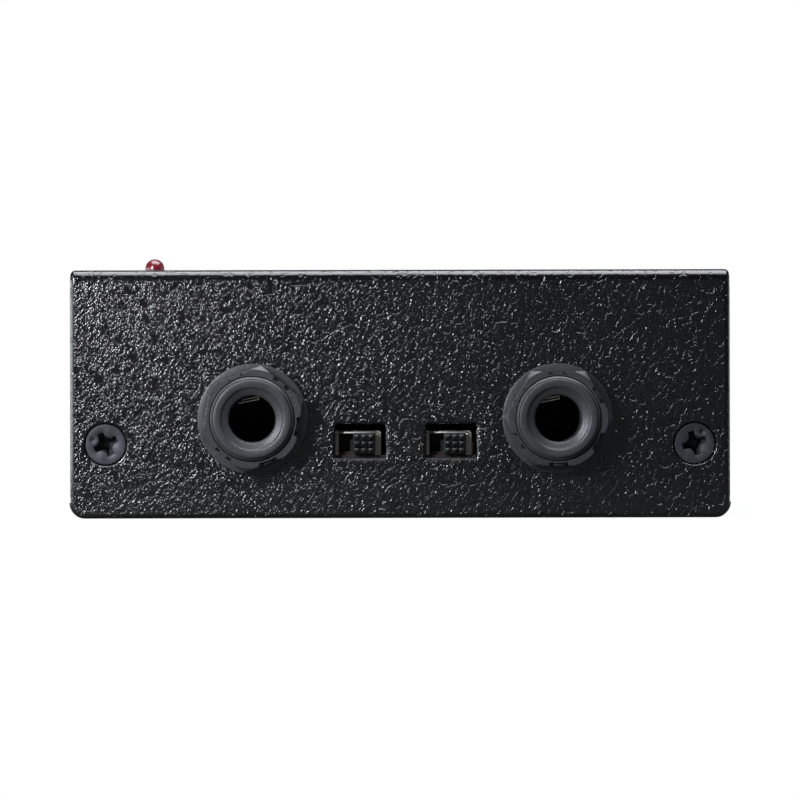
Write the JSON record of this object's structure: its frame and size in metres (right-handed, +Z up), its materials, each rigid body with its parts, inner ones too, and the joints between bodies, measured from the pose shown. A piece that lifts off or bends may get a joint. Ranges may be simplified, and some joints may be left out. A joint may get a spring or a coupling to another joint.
{
  "type": "headphone amplifier",
  "caption": "Small headphone amplifier in a folded steel case, with input jacks and recessed slide switches on one face, level knobs, headphone jacks and a DC inlet on the other.",
  "frame": {"origin": "centre of the case's underside, on the surface that it stands on", "axes": "+Z up, -Y towards the input face, +X to the right as that face is looked at"},
  "size_m": [0.0932, 0.089, 0.0382],
  "materials": {
    "case_paint": "black hammer-texture powder coat, semi-gloss",
    "screw_black": "black zinc plated steel, satin",
    "zinc": "zinc plated steel",
    "jack_plastic": "moulded black nylon",
    "nickel": "nickel plated sheet and springs",
    "board_brown": "red-brown phenolic circuit board",
    "slider_black": "black moulded nylon, slight sheen",
    "led_red": "tinted red epoxy, unlit",
    "spacer_white": "natural nylon",
    "knob_black": "black moulded knob, satin, pale pointer",
    "pot_case": "nickel plated pressed steel",
    "chip_black": "moulded epoxy",
    "can_aluminium": "drawn can",
    "film_red": "potted plastic box",
    "resistor_blue": "lacquered body"
  },
  "bodies": {
    "case": {"amplifier_chips": "chip_black", "base_tray": "case_paint", "board_screws": "zinc", "board_standoffs": "zinc", "chip_pins": "nickel", "cover_screws": "screw_black", "dc_inlet_body": "jack_plastic", "dc_inlet_contact": "nickel", "dc_inlet_pin": "nickel", "electrolytic_capacitors": "can_aluminium", "film_capacitors": "film_red", "flange_press_nuts": "zinc", "headphone_jack_body": "jack_plastic", "headphone_jack_nut": "jack_plastic", "headphone_jack_ring_contact": "nickel", "headphone_jack_sleeve_contact": "nickel", "headphone_jack_tip_contact": "nickel", "input_left_body": "jack_plastic", "input_left_nut": "jack_plastic", "input_left_ring_contact": "nickel", "input_left_sleeve_contact": "nickel", "input_left_tip_contact": "nickel", "input_right_body": "jack_plastic", "input_right_nut": "jack_plastic", "input_right_ring_contact": "nickel", "input_right_sleeve_contact": "nickel", "input_right_tip_contact": "nickel", "led_leads": "nickel", "led_lens": "led_red", "led_spacer": "spacer_white", "level_left_body": "pot_case", "level_left_nut": "nickel", "level_left_washer": "nickel", "level_right_body": "pot_case", "level_right_nut": "nickel", "level_right_washer": "nickel", "main_board": "board_brown", "mini_jack_body": "jack_plastic", "mini_jack_contacts": "nickel", "mini_jack_nut": "nickel", "resistors": "resistor_blue", "switch_left_shield": "nickel", "switch_left_terminal_board": "board_brown", "switch_left_terminals": "nickel", "switch_right_shield": "nickel", "switch_right_terminal_board": "board_brown", "switch_right_terminals": "nickel", "top_cover": "case_paint", "voltage_regulator": "chip_black"},
    "switch_left_slider": {"switch_left_slider": "slider_black", "switch_left_bridge": "nickel"},
    "switch_right_slider": {"switch_right_slider": "slider_black", "switch_right_bridge": "nickel"},
    "level_left": {"level_left_shaft": "can_aluminium", "level_left_knob": "knob_black"},
    "level_right": {"level_right_shaft": "can_aluminium", "level_right_knob": "knob_black"}
  },
  "joints": [
    {"name": "switch_left_slide", "type": "slide", "parent": "case", "child": "switch_left_slider", "axis": [-1, 0, 0], "range_m": [0, 0.002]},
    {"name": "switch_right_slide", "type": "slide", "parent": "case", "child": "switch_right_slider", "axis": [-1, 0, 0], "range_m": [0, 0.002]},
    {"name": "level_left_turn", "type": "hinge", "parent": "case", "child": "level_left", "pos_m": [-0.018, 0.035, 0.01535], "axis": [0, -1, 0], "range_deg": [-150, 150]},
    {"name": "level_right_turn", "type": "hinge", "parent": "case", "child": "level_right", "pos_m": [-0.001, 0.035, 0.01535], "axis": [0, -1, 0], "range_deg": [-150, 150]}
  ]
}
